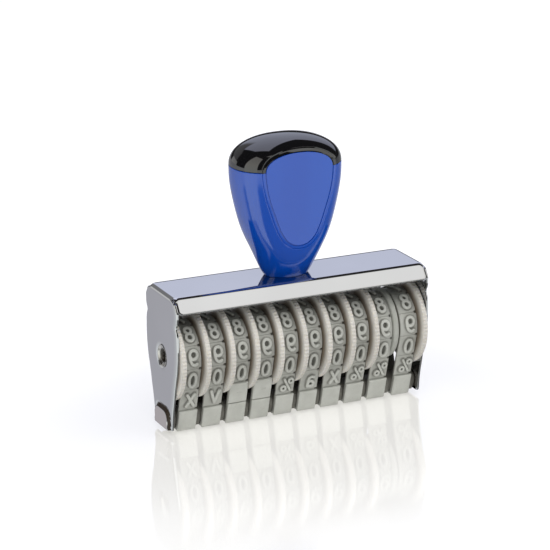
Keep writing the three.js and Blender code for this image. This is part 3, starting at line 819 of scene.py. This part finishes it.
def glyph_strokes():
    G = {}
    loop9 = arc(0, 1.08, 1.42, 1.5, 0, 354, 60)
    tail9 = bezier((1.42, 1.2), (1.5, -0.6), (1.15, -2.45), (-0.1, -2.62), (-0.75, -2.62), (-1.22, -2.1), n=30)
    G["0"] = [(arc(0, 0, 1.3, 2.6, 0, 355, 72, 2.25), True, 1.0)]
    G["1"] = [([(0.2, 2.6), (0.2, -2.6)], False, 1.0), ([(-0.85, 1.75), (0.2, 2.6)], False, 1.0)]
    G["2"] = [(arc(0.0, 1.2, 1.35, 1.4, 165, -30, 40) + bezier((1.17, 0.5), (0.7, -0.5), (-0.9, -1.6), (-1.35, -2.6)), False, 1.0),
              ([(-1.35, -2.6), (1.4, -2.6)], False, 1.0)]
    G["3"] = [(arc(-0.05, 1.35, 1.25, 1.25, 150, -90, 40), False, 1.0), (arc(-0.05, -1.25, 1.4, 1.35, 90, -150, 44), False, 1.0)]
    G["4"] = [([(0.6, -2.6), (0.6, 2.6)], False, 1.0), ([(0.6, 2.6), (-1.45, -1.05)], False, 1.0), ([(-1.45, -1.05), (1.5, -1.05)], False, 1.0)]
    G["5"] = [([(1.2, 2.6), (-1.05, 2.6)], False, 1.0), ([(-1.05, 2.6), (-1.2, 0.3)], False, 1.0),
              (bezier((-1.2, 0.3), (-0.5, 1.1), (1.5, 1.1), (1.45, -0.9), (1.4, -2.6), (-0.2, -3.1), (-1.35, -2.1), n=34), False, 1.0)]
    G["6"] = [([(-x, -y) for x, y in loop9], True, 1.0), ([(-x, -y) for x, y in tail9], False, 1.0)]
    G["7"] = [([(-1.35, 2.6), (1.4, 2.6)], False, 1.0), ([(1.4, 2.6), (-0.4, -2.6)], False, 1.0)]
    G["8"] = [(arc(0, 1.36, 1.14, 1.22, 0, 353, 50), True, 1.0), (arc(0, -1.24, 1.32, 1.36, 0, 353, 54), True, 1.0)]
    G["9"] = [(loop9, True, 1.0), (tail9, False, 1.0)]
    G["X"] = [([(-1.35, -2.35), (1.35, 2.35)], False, 1.0), ([(-1.35, 2.35), (1.35, -2.35)], False, 1.0)]
    G["V"] = [([(-1.5, 2.4), (0.0, -2.4)], False, 1.0), ([(1.5, 2.4), (0.0, -2.4)], False, 1.0)]
    G["-"] = [([(-0.75, 0.1), (0.75, 0.1)], False, 0.42)]
    G["%"] = [([(-1.25, -2.35), (1.25, 2.35)], False, 0.8), (arc(-1.3, 1.45, 0.84, 0.92, 0, 350, 30), True, 0.78),
              (arc(1.3, -1.45, 0.84, 0.92, 0, 350, 30), True, 0.78)]
    G["a"] = [(arc(-0.05, -1.2, 1.1, 1.1, 0, 353, 44), True, 0.95), (bezier((1.1, -2.3), (1.1, 0.2), (1.1, 1.9), (-0.2, 1.9), (-0.9, 1.5)), False, 0.95)]
    return G


def build_glyphs():
    """Each character as one closed flat mesh (numpy vertices in mm, faces)."""
    out = {}
    for ch, parts in glyph_strokes().items():
        objs = []
        for j, (pts, closed, k) in enumerate(parts):
            V, F = stroke(pts, closed, k, RELIEF - 0.0007 * j)
            objs.append(tidy(new_object(f"g{ord(ch)}_{j}", V, F), merge=1e-7))
        o = objs[0]
        for other in objs[1:]:
            boolean(o, other, "UNION")
        bm = bmesh.new()
        bm.from_mesh(o.data)
        bmesh.ops.remove_doubles(bm, verts=bm.verts, dist=4e-6)
        bmesh.ops.holes_fill(bm, edges=[e for e in bm.edges if len(e.link_faces) == 1], sides=4)
        bmesh.ops.recalc_face_normals(bm, faces=bm.faces)
        bm.verts.index_update()
        V = np.array([v.co[:] for v in bm.verts]) / MM
        F = [[v.index for v in f.verts] for f in bm.faces]
        bm.free()
        bpy.data.objects.remove(o)
        out[ch] = (V, F)
    return out


def plain_pad(top=RELIEF):
    """The full-width plain field: a raised block with rounded edges, in (u, v, height)."""
    hw, hl = BAND_W / 2 - 0.02, FIELD / 2 - 0.16
    us = [-hw, -hw + 0.08, -hw + 0.25, -2.2, -1.1, 0.0, 1.1, 2.2, hw - 0.25, hw - 0.08, hw]
    vs = [-hl, -hl + 0.08, -hl + 0.25] + list(np.linspace(-hl + 0.7, hl - 0.7, 9)) + [hl - 0.25, hl - 0.08, hl]

    def drop(i, n):
        return {0: 0.24, 1: 0.08}.get(min(i, n - 1 - i), 0.0)

    V, F = [], []
    for i, v in enumerate(vs):
        for j, u in enumerate(us):
            V.append((u, v, top - max(drop(i, len(vs)), drop(j, len(us)))))
    nu, nv = len(us), len(vs)
    base = len(V)
    rim = [(0, j) for j in range(nu)] + [(i, nu - 1) for i in range(1, nv)] + [(nv - 1, j) for j in range(nu - 2, -1, -1)] + [(i, 0) for i in range(nv - 2, 0, -1)]
    for i, j in rim:
        V.append((us[j], vs[i], -0.12))
    for i in range(nv - 1):
        for j in range(nu - 1):
            F.append((i * nu + j, i * nu + j + 1, (i + 1) * nu + j + 1, (i + 1) * nu + j))
    m = len(rim)
    for a in range(m):
        i, j = rim[a]
        i2, j2 = rim[(a + 1) % m]
        F.append((i * nu + j, base + a, base + (a + 1) % m, i2 * nu + j2))
    F.append(tuple(range(base, base + m)))
    return np.array(V), F


SIGNS = ["X", "V", "-", "-", "%", "a", "X", "%", "%", "%"]
GLYPHS = build_glyphs()
PAD, LOW_PAD = plain_pad(), plain_pad(RELIEF - 0.12)
SHIFT = 0.35                        # the characters stand a little right of the band's middle
LINES = {ch: np.array([(SHIFT - u, v) for pts, closed, k in parts for u, v in even(pts, 0.12)]) for ch, parts in glyph_strokes().items()}
LOOPS = {ch: [np.array([(SHIFT - u, v) for u, v in even(pts, 0.12, True)]) for pts, closed, k in parts if closed] for ch, parts in glyph_strokes().items()}


def number_band(k):
    order = ["1", "pad", SIGNS[k], "0", "9", "8", "7", "6", "5", "4", "3", "2"]
    web = band_web([(LINES[ch], LOOPS[ch]) if ch in LINES and ch != "-" else None for ch in order])
    V, F, rel, cav = list(web[0]), list(web[1]), list(web[2]), list(web[3])
    for c, ch in enumerate(order):
        for kind in (["low", "-"] if ch == "-" else [ch]):
            gv, gf = PAD if kind == "pad" else LOW_PAD if kind == "low" else GLYPHS[kind]
            b = len(V)
            for u, v, hgt in gv:
                uu = u if kind in ("pad", "low") else SHIFT - u        # a printing character is a mirror image
                y, z = on_band(c * FIELD + v, hgt)
                V.append((uu, y, z))
                # stroke feet and flanks take the darker web colour: painted shade
                rel.append(1.0 if hgt > 0.7 * RELIEF else (0.0 if hgt < 0.1 else 0.35))
                # painted shade at the characters' feet and flanks; the dash's top is painted a little darker too
                cav.append(0.0 if kind == "low" else 0.6 if hgt < 0.1 else 0.34 if hgt < 0.7 * RELIEF else 0.12 if kind == "-" else 0.0)
            F += [tuple(b + i for i in f) for f in gf]
    V = [(x + BAND_X[k], y, z) for x, y, z in V]
    o = new_object(f"band_{k + 1:02d}", V, F, {"relief": rel, "cavity_shade": cav})
    tidy(o, merge=0, angle=42)
    return finish_piece(o, "rubber", [f"number_band_{k + 1:02d}"])


# ------------------------------------------------------------------ nose bar with its ribs
def nose_bar():
    bar = [(3.3, 2.2), (3.6, 3.2), (4.1, 4.8), (4.25, 5.6), (4.0, 6.6), (3.2, 7.4), (2.0, 7.85), (0, 7.95)]
    rib = [(3.9, 1.5), (5.0, 5.0), (4.7, 7.2), (3.2, 8.6), (0, 9.0)]
    full = lambda p: [(y, z) for y, z in p] + [(-y, z) for y, z in p[::-1] if y > 0]

    def polar(poly, n=56):
        """Distance of the outline from (0, 4.9) at even angles."""
        P = np.array(full(poly)) - np.array([0, 4.9])
        out = []
        for a in np.arange(n) * 2 * math.pi / n:
            d = np.array([math.cos(a), math.sin(a)])
            best = 0.0
            for i in range(len(P)):
                p, q = P[i], P[(i + 1) % len(P)]
                e = q - p
                den = d[0] * e[1] - d[1] * e[0]
                if abs(den) < 1e-9:
                    continue
                t = (p[0] * e[1] - p[1] * e[0]) / den
                u = (p[0] * d[1] - p[1] * d[0]) / den
                if t > 0 and -1e-6 <= u <= 1 + 1e-6:
                    best = max(best, t)
            out.append(best)
        return np.array(out)

    rb, rr = polar(bar), polar(rib)
    ang = np.arange(56) * 2 * math.pi / 56
    stations = [(-48.2, rb - 0.15), (-48.05, rb)]
    for x in sorted(WHEEL_X[:9] + [36.35, WHEEL_X[9]]):
        if x - 0.8 > -48.0 and x + 0.8 < 48.0:
            stations += [(x - 0.80, rb), (x - 0.79, rr - 0.12), (x - 0.67, rr), (x + 0.67, rr), (x + 0.79, rr - 0.12), (x + 0.80, rb)]
    stations += [(48.05, rb), (48.2, rb - 0.15)]
    V = [(x, r * math.cos(a), 4.9 + r * math.sin(a)) for x, R in stations for r, a in zip(R, ang)]
    n = 56
    F = ring_faces(len(stations), n) + [tuple(range(n)), tuple(range((len(stations) - 1) * n, len(stations) * n))]
    o = tidy(new_object("bar", V, F), angle=35)
    return finish_piece(o, "grey", ["nose_bar"])


# ------------------------------------------------------------------ handle
ST_Z = [0.1, 1, 3, 7, 11, 14, 19, 25, 31, 36, 40]
ST_A = [7.9, 8.6, 9.7, 11.4, 13.1, 14.5, 16.45, 18.1, 19.35, 19.95, 20.0]
ST_B = [5.7, 6.05, 7.25, 9.7, 11.45, 12.4, 13.25, 13.9, 14.6, 15.0, 15.2]
NECK = TOP_Z                        # the handle's own height starts at the plate's top
DOME = HANDLE_H - SPLIT


def handle_half(z):
    """(half width in X, half depth in Y, exponent) of the handle's outline at height z over the plate."""
    if z <= SPLIT:
        a = float(cubic(ST_Z, ST_A, z, 0.0))
        b = float(cubic(ST_Z, ST_B, z, 0.0))
        return a, b, 2.0 + 0.2 * float(smooth01((z - 3) / 10))
    p = 2.2
    s = min((z - SPLIT) / DOME, 1.0)
    c = (1 - s**p) ** (1 / p)
    return 20.0 * c, 15.2 * c, 2.2


def egg_y(x, z):
    """Half depth of the egg at (x, z), or None outside its outline."""
    a, b, p = handle_half(z)
    if abs(x) >= a:
        return None
    return b * (1 - (abs(x) / a) ** p) ** (1 / p)


def egg(seg=176):
    zs = [0.1] + list(np.arange(0.5, 13.1, 0.42)) + list(np.arange(13.6, 40.0, 0.55)) + [40.0]
    p = 2.2
    for t in np.radians(np.linspace(0, 90, 46))[1:-1]:
        zs.append(SPLIT + DOME * math.sin(t) ** (2 / p))
    V = []
    for z in zs:
        a, b, q = handle_half(z)
        for i in range(seg):
            th = 2 * math.pi * i / seg
            c, s = math.cos(th), math.sin(th)
            V.append((HANDLE_X + a * math.copysign(abs(c) ** (2 / q), c), b * math.copysign(abs(s) ** (2 / q), s), NECK + z))
    F = ring_faces(len(zs), seg) + [tuple(range(seg))]
    V.append((HANDLE_X, 0.0, NECK + HANDLE_H))
    last = (len(zs) - 1) * seg
    F += [(last + i, last + (i + 1) % seg, len(V) - 1) for i in range(seg)]
    return tidy(new_object("egg", V, F))


def facet_lines():
    """Outline of the flat oval where the egg meets its plane, and the outline's outward normals."""
    zc = 32.0
    n = 220
    crease = []
    for i in range(n):
        a = 2 * math.pi * i / n
        dx, dz = math.cos(a), math.sin(a)
        f = lambda r: (egg_y(dx * r, zc + dz * r) or 0.0) if zc + dz * r < HANDLE_H else 0.0
        lo, hi = 0.0, 25.0
        for _ in range(46):
            m = (lo + hi) / 2
            lo, hi = (m, hi) if f(m) > FACET else (lo, m)
        crease.append((dx * lo, zc + dz * lo))
    C = np.array(crease)
    T = np.roll(C, -1, axis=0) - np.roll(C, 1, axis=0)
    T /= np.linalg.norm(T, axis=1)[:, None]
    return C, np.stack([T[:, 1], -T[:, 0]], 1)


CREASE, CREASE_N = facet_lines()
D_IN, D_OUT = 0.95, 0.62            # the ring lies from 0.95 mm inside the crease to 0.62 mm outside it
INNER = CREASE - CREASE_N * D_IN


def facet_cutter(sign):
    """Takes away what lies before the flat oval and its bevelled ring."""
    n = len(CREASE)
    outer = CREASE + CREASE_N * D_OUT
    yo = np.array([egg_y(x, z) or 9.0 for x, z in outer])
    w = D_IN + D_OUT
    rows = []
    # (distance out from the inner line, extra depth)
    for d, extra in ((0.0, 0.0), (0.03, -0.30), (0.36, -0.32), (0.42, -0.02), (0.6, 0.0), (1.0, 0.01), (w - 0.36, -0.03), (w - 0.31, -0.22), (w + 0.02, -0.24), (w + 0.07, -0.06), (w + 0.24, 0.0)):
        f = max((d - 0.3) / (w - 0.3), 0.0)
        pts = INNER + CREASE_N * d
        y = FACET + (yo - FACET) * f + extra
        if d > w:
            q = CREASE + CREASE_N * (d - D_IN)
            ye = np.array([(egg_y(a, b) or 8.5) for a, b in q])
            y = ye - 0.05 if d < w + 0.1 else ye + 0.12
        rows.append([(HANDLE_X + p[0], sign * yy, NECK + p[1]) for p, yy in zip(pts, y)])
    far = CREASE + CREASE_N * (D_OUT + 0.6)
    rows.append([(HANDLE_X + p[0], sign * 20.0, NECK + p[1]) for p in far])
    V = [p for r in rows for p in r]
    F = ring_faces(len(rows), n) + [tuple(range(n)), tuple(range((len(rows) - 1) * n, len(rows) * n))]
    return tidy(new_object("facet_cut", V, F))


def joint_cut(z, r=0.16):
    """A thin square-section ring along the egg's outline at height z, to chamfer the joint."""
    a, b, q = handle_half(z)
    seg = 176
    V = []
    for i in range(seg):
        th = 2 * math.pi * i / seg
        c, s = math.cos(th), math.sin(th)
        px, py = a * math.copysign(abs(c) ** (2 / q), c), b * math.copysign(abs(s) ** (2 / q), s)
        nx, ny = math.copysign((abs(px) / a) ** (q - 1) / a, px), math.copysign((abs(py) / b) ** (q - 1) / b, py)
        L = math.hypot(nx, ny)
        nx, ny = nx / L, ny / L
        for du, dz in ((r, 0), (0, r), (-r, 0), (0, -r)):
            V.append((HANDLE_X + px + nx * du, py + ny * du, NECK + z + dz))
    return tidy(new_object("joint_cut", V, ring_faces(seg, 4, close_u=True)))


def handle():
    core = egg()
    for s in (-1, 1):
        boolean(core, facet_cutter(s))
    # the cap takes everything over the joint but the two flat ovals, which belong to the grip
    ear = INNER + CREASE_N * 0.02
    gap = INNER + CREASE_N * 0.20
    box = [(-30.0, SPLIT), (30.0, SPLIT), (30.0, 60.0), (-30.0, 60.0)]
    body = core
    cap = body.copy()
    cap.data = body.data.copy()
    bpy.context.scene.collection.objects.link(cap)
    zone = prism("zone", [(HANDLE_X + x, NECK + z) for x, z in box], -25, 25, "y")
    for s in (-1, 1):
        p = prism("ear", [(HANDLE_X + x, NECK + z) for x, z in ear], s * 9.2, s * 26, "y")
        boolean(zone, p)
    boolean(body, zone)
    low = prism("low", [(HANDLE_X + x, NECK + z) for x, z in [(-30.0, -5.0), (30.0, -5.0), (30.0, SPLIT + 0.10), (-30.0, SPLIT + 0.10)]], -25, 25, "y")
    for s in (-1, 1):
        p = prism("ear2", [(HANDLE_X + x, NECK + z) for x, z in gap], s * 8.95, s * 26, "y")
        boolean(cap, p)
    boolean(cap, low)
    for o, z in ((body, SPLIT), (cap, SPLIT + 0.10)):
        boolean(o, joint_cut(z))
    body.name, cap.name = "grip", "cap"
    for o in (body, cap):
        tidy(o, merge=2e-7, angle=7.0)
    finish_piece(body, "blue", ["handle_body"])
    finish_piece(cap, "black", ["handle_cap"])
    return body, cap


chromed_frame()
axle_tube()
spacer()
nose_bar()
for k in range(10):
    thumbwheel(k)
    number_band(k)
handle()

for name, mat in (("handle_screw", "steel"), ("screw_washer", "steel"), ("handle_insert", "brass")):
    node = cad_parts[name]
    if not node.material_slots:
        node.data.materials.append(M[mat])
    for slot_ in node.material_slots:
        slot_.material = M[mat]

# ------------------------------------------------------------------ camera
scene = bpy.context.scene
cam = bpy.data.cameras.new("camera")
cam.sensor_width, cam.lens = 36.0, 159.33
cam.clip_start, cam.clip_end = 0.01, 60.0
cam_obj = bpy.data.objects.new("camera", cam)
scene.collection.objects.link(cam_obj)
az, el, dist = math.radians(-24.663), math.radians(17.079), 0.850
roll = math.radians(-0.5)
target = Vector((-5.09, 0.0, 50.70)) * MM
back = Vector((math.cos(el) * math.sin(az), -math.cos(el) * math.cos(az), math.sin(el)))
cam_obj.location = target + back * dist
cam_obj.rotation_euler = ((-back).to_track_quat("-Z", "Y").to_matrix() @ Matrix.Rotation(roll, 3, "Z")).to_euler()
scene.camera = cam_obj
scene.view_settings.view_transform = "Standard"
scene.view_settings.look = "None"


# ------------------------------------------------------------------ floor
def floor():
    """A plain white light table: it glows a little, and mirrors what stands on it, less sharply further away."""
    nx = 24
    xs = np.linspace(-9000, 9000, nx)
    V = [(x, y, -0.02) for y in xs for x in xs]
    F = ring_faces(nx, nx, close_v=False)
    o = new_object("floor", V, F)
    m = Mat("floor_white")
    cloud = m.noise(6.0, 2.0, 0.5)
    tint = m.mix(m.map(cloud, 0.3, 0.7, 0.0, 1.0, True), (0.40, 0.40, 0.40), (0.415, 0.415, 0.415))
    d = m.n("ShaderNodeVectorMath", operation="LENGTH")
    m.link(m.scaled(0.75, 1.0, 1.0), d.inputs[0])
    # painted shade: the glow is dimmer within about 0.05 to 0.11 m of the object's middle and brightens out to about
    # 0.32 m
    glow = m.mix(m.map(d.outputs["Value"], 0.05, 0.11, 0.0, 1.0, True), (0.40, 0.394, 0.375), (0.505, 0.502, 0.49))
    glow = m.mix(m.map(d.outputs["Value"], 0.11, 0.32, 0.0, 1.0, True), glow, (0.64, 0.64, 0.63))
    glow = m.mix(m.map(cloud, 0.3, 0.7, 0.0, 0.04, True), glow, (0.5, 0.5, 0.5))
    m.set(Base_Color=tint, Roughness=m.map(d.outputs["Value"], 0.05, 0.14, 0.008, 0.17, True), Emission_Color=glow)
    m.p.inputs["Emission Strength"].default_value = 1.25
    m.p.inputs["IOR"].default_value = 2.5
    o.data.materials.append(m.m)
    o.visible_glossy = False
    return o


floor()

# ------------------------------------------------------------------ studio light
# The surroundings are a dark room with a white table and three bright panels, given by direction (x right, y back, z up).
world = bpy.data.worlds.new("studio")
scene.world = world
world.use_nodes = True
wt = world.node_tree
wt.nodes.clear()
wout = wt.nodes.new("ShaderNodeOutputWorld")
bg = wt.nodes.new("ShaderNodeBackground")
wt.links.new(bg.outputs[0], wout.inputs[0])
wco = wt.nodes.new("ShaderNodeTexCoord").outputs["Generated"]


def wlin(a, b, c, d=0.0):
    """a x + b y + c z + d of the direction."""
    v = wt.nodes.new("ShaderNodeVectorMath")
    v.operation = "DOT_PRODUCT"
    v.inputs[1].default_value = (a, b, c)
    wt.links.new(wco, v.inputs[0])
    return wmath("ADD", v.outputs["Value"], d)


def wmath(op, a, b):
    x = wt.nodes.new("ShaderNodeMath")
    x.operation = op
    for i, v in enumerate((a, b)):
        if isinstance(v, (int, float)):
            x.inputs[i].default_value = v
        else:
            wt.links.new(v, x.inputs[i])
    return x.outputs[0]


def wstep(v, soft):
    """0 to 1 where v passes zero, over twice the softness."""
    x = wt.nodes.new("ShaderNodeMapRange")
    x.interpolation_type = "SMOOTHSTEP"
    for i, val in enumerate((-soft, soft, 0.0, 1.0)):
        x.inputs[i + 1].default_value = val
    wt.links.new(v, x.inputs[0])
    return x.outputs[0]


def wall(*masks):
    out = masks[0]
    for m_ in masks[1:]:
        out = wmath("MULTIPLY", out, m_)
    return out


def wramp(src, lo, hi, stops):
    """Colour by value, with stops given between lo and hi."""
    x = wt.nodes.new("ShaderNodeMapRange")
    for i, val in enumerate((lo, hi, 0.0, 1.0)):
        x.inputs[i + 1].default_value = val
    wt.links.new(src, x.inputs[0])
    r = wt.nodes.new("ShaderNodeValToRGB")
    while len(r.color_ramp.elements) > 1:
        r.color_ramp.elements.remove(r.color_ramp.elements[0])
    for i, (v, c) in enumerate(stops):
        t = (v - lo) / (hi - lo)
        e = r.color_ramp.elements[0] if i == 0 else r.color_ramp.elements.new(t)
        e.position = t
        e.color = (*c, 1)
    wt.links.new(x.outputs[0], r.inputs[0])
    return r.outputs[0]


def wover(fac, below, above):
    x = wt.nodes.new("ShaderNodeMix")
    x.data_type = "RGBA"
    wt.links.new(fac, x.inputs[0])
    for i, v in ((6, below), (7, above)):
        if isinstance(v, tuple):
            x.inputs[i].default_value = (*v, 1)
        else:
            wt.links.new(v, x.inputs[i])
    return x.outputs[2]


Z = wlin(0, 0, 1)
table = wramp(wlin(0, 1, 0), -1.0, 1.0, [
    (-1.0, (1.02, 1.06, 1.06)), (-0.45, (1.02, 1.06, 1.06)), (0.0, (1.1, 1.12, 1.15)), (0.47, (0.95, 0.98, 1.02)),
    (0.79, (0.66, 0.67, 0.70)), (0.87, (0.57, 0.57, 0.62)), (1.0, (0.5, 0.5, 0.54))])
table = wover(wall(wstep(wlin(1, 0, 0, -0.75), 0.12), wstep(wlin(0, 1, 0, 0.1), 0.15)), table, (0.32, 0.33, 0.35))
table = wover(wall(wstep(wlin(0, 0, -1, -0.385), 0.035), wstep(wlin(0, -1, 0, 0.25), 0.1)), table, (0.20, 0.20, 0.20))
light = wover(wstep(wlin(0, 0, -1, 0.005), 0.012), (0.035, 0.034, 0.036), table)
# rear and overhead panel, lilac-grey
rear = wall(wstep(wlin(1, 0, 0.28), 0.012), wstep(wlin(1, 0, 0.868, -0.265), 0.012), wmath("MAXIMUM", wstep(wlin(-1.1, 1, -0.2), 0.012), wstep(wlin(0.5, 1, 0, -0.81), 0.012)), wstep(wlin(0, 0, 1, -0.21), 0.012),
            wstep(wlin(0.40, 0.267, -0.019), 0.01))
light = wover(rear, light, wramp(Z, 0.0, 1.0, [(0.0, (0.62, 0.65, 0.80)), (0.29, (0.77, 0.81, 1.00)), (0.5, (0.86, 0.90, 1.12)), (0.75, (1.02, 1.06, 1.32)), (1.0, (1.12, 1.16, 1.42))]))
# a dim zone and a brighter strip behind, on the left
dim = wall(wstep(wlin(0, 1, 0, -0.75), 0.02), wstep(wlin(-1, 0, 0, 0.10), 0.06), wstep(wlin(1, 0, 0, 0.6), 0.02), wstep(wlin(0, 0, 1, -0.20), 0.02), wstep(wlin(0, 0, -1, 0.56), 0.02))
light = wover(dim, light, (0.27, 0.27, 0.28))
strip = wall(wstep(wlin(0, 1, 0, -0.7), 0.02), wstep(wlin(-1, 0, 0, -0.3), 0.02), wstep(wlin(0, 0, 1, -0.0), 0.02), wstep(wlin(0, 0, -1, 0.23), 0.02))
light = wover(strip, light, (0.80, 0.80, 0.80))
# tall panel on the left
left_ = wall(wstep(wlin(-0.14, -1, 0), 0.015), wstep(wlin(-0.65, 1, 0), 0.015), wstep(wlin(-1.85, 0, -1), 0.02), wstep(wlin(-1, 0, 0), 0.02))
light = wover(left_, light, wramp(Z, -1.0, 1.0, [(-0.5, (1.25, 1.33, 1.3)), (0.0, (1.3, 1.33, 1.26)), (0.4, (1.33, 1.3, 1.2)), (0.9, (1.0, 0.97, 0.92))]))
# front panel, high and to the right
front = wall(wstep(wlin(0.12, -1, -0.2), 0.03), wstep(wlin(1, 1, 0.55), 0.03), wstep(wlin(0, 0, 1, -0.06), 0.03))
around = wt.nodes.new("ShaderNodeMapRange")
around.interpolation_type = "SMOOTHSTEP"
for i, val in enumerate((0.955, 0.985, 0.0, 1.0)):
    around.inputs[i + 1].default_value = val
wt.links.new(wlin(0.42, -0.455, 0.785), around.inputs[0])
light = wover(front, light, wover(around.outputs[0], (1.10, 1.08, 1.04), (1.27, 1.26, 1.24)))
wt.links.new(light, bg.inputs[0])
bg.inputs[1].default_value = 1.0


def area(name, loc, look, w, h, power, color=(1, 1, 1)):
    L = bpy.data.lights.new(name, "AREA")
    L.shape, L.size, L.size_y, L.energy, L.color = "RECTANGLE", w, h, power, color
    o = bpy.data.objects.new(name, L)
    scene.collection.objects.link(o)
    o.location = Vector(loc)
    o.rotation_euler = (Vector(look) - Vector(loc)).to_track_quat("-Z", "Y").to_euler()
    o.visible_camera = False
    o.visible_glossy = False
    return o


area("top_soft", (0.15, -0.35, 1.25), (0, 0, 0.03), 1.1, 0.8, 5.4)
area("right_soft", (0.95, -0.60, 0.45), (0, 0, 0.04), 0.35, 0.8, 1.0)
area("front_soft", (-0.50, -0.95, 0.85), (0, 0, 0.03), 1.1, 0.5, 6.5)
